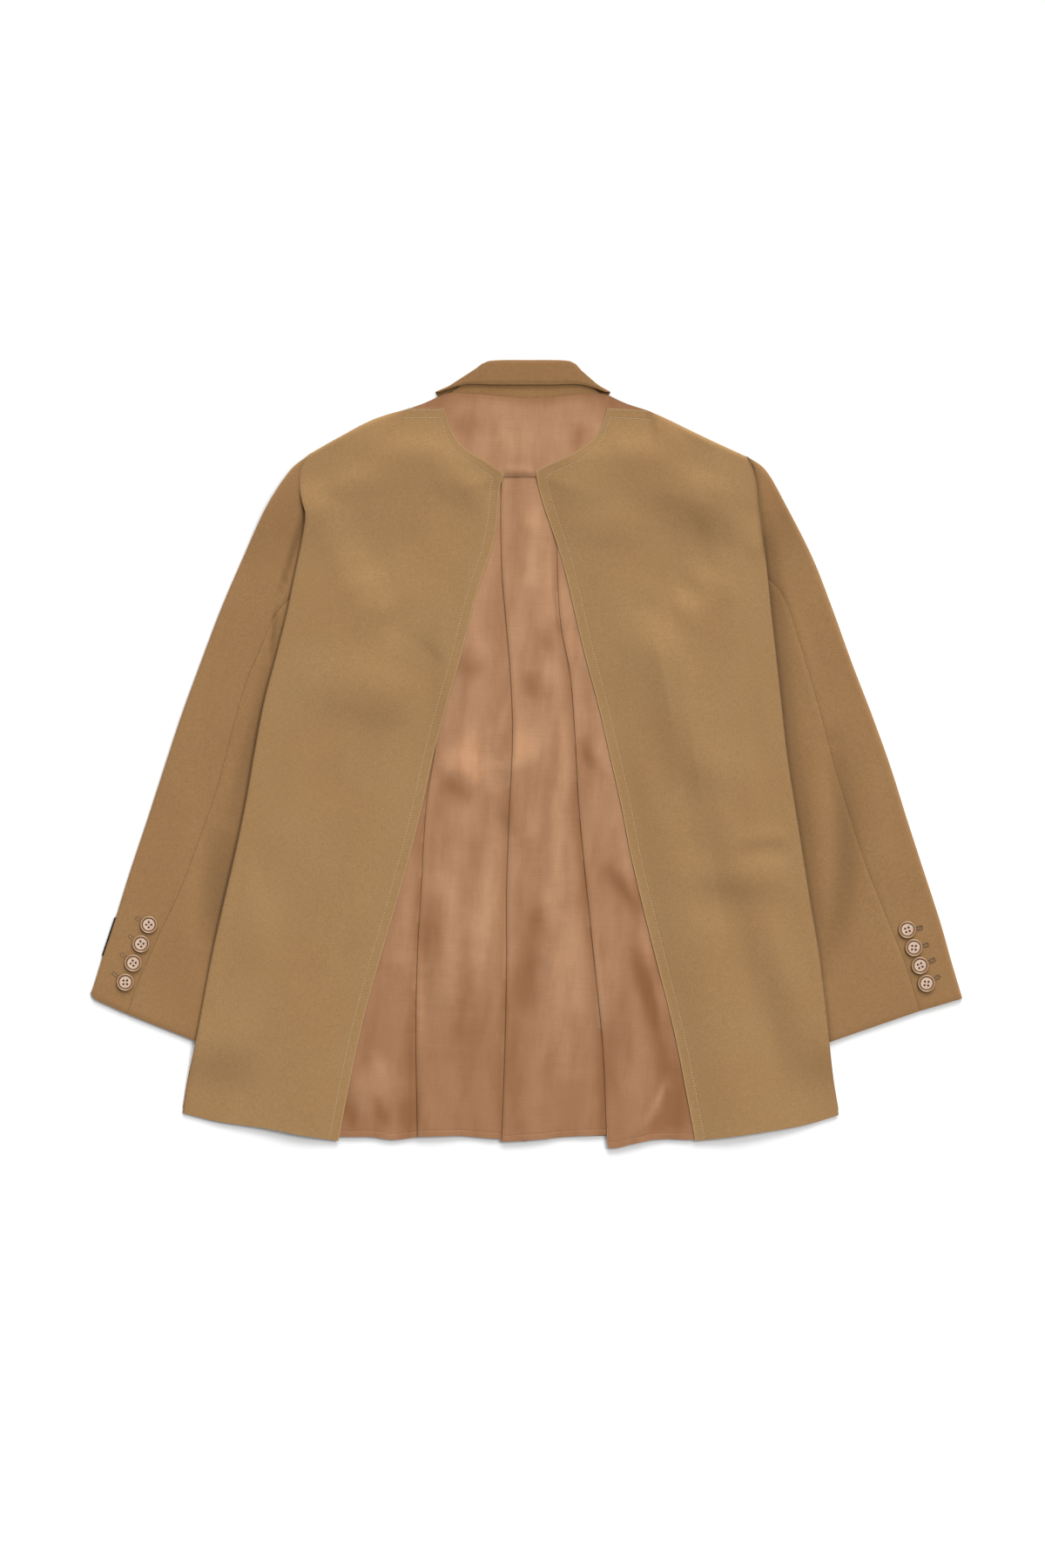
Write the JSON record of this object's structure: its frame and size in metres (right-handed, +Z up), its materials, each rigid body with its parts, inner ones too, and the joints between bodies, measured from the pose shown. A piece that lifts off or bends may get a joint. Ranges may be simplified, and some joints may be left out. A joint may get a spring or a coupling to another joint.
{
  "type": "blazer",
  "caption": "Tailored blazer laid flat with its back up: raw-edged wool back panels fall open over a pleated satin lining.",
  "frame": {"origin": "middle of the blazer's outline, on the surface that it lies on", "axes": "+X towards the wearer's right sleeve, +Y towards the collar, +Z up off the surface, with the back of the blazer up"},
  "size_m": [0.8659, 0.7816, 0.0146],
  "materials": {
    "wool": "fine worsted wool twill, matt",
    "satin": "silky satin lining with a soft sheen",
    "button": "horn-look resin, polished",
    "tab": "plain black woven band"
  },
  "bodies": {
    "root": {"back_left": "wool", "back_right": "wool", "front_left": "wool", "front_right": "wool", "lapel_left": "wool", "lapel_right": "wool", "collar_stand": "wool", "collar_fall": "wool", "sleeve_left_upper": "wool", "sleeve_left_under": "wool", "sleeve_right_upper": "wool", "sleeve_right_under": "wool", "pleat_lining": "satin", "yoke_lining": "satin", "button_left_1": "button", "button_left_2": "button", "button_left_3": "button", "button_left_4": "button", "button_right_1": "button", "button_right_2": "button", "button_right_3": "button", "button_right_4": "button", "cuff_tab": "tab"}
  },
  "joints": []
}
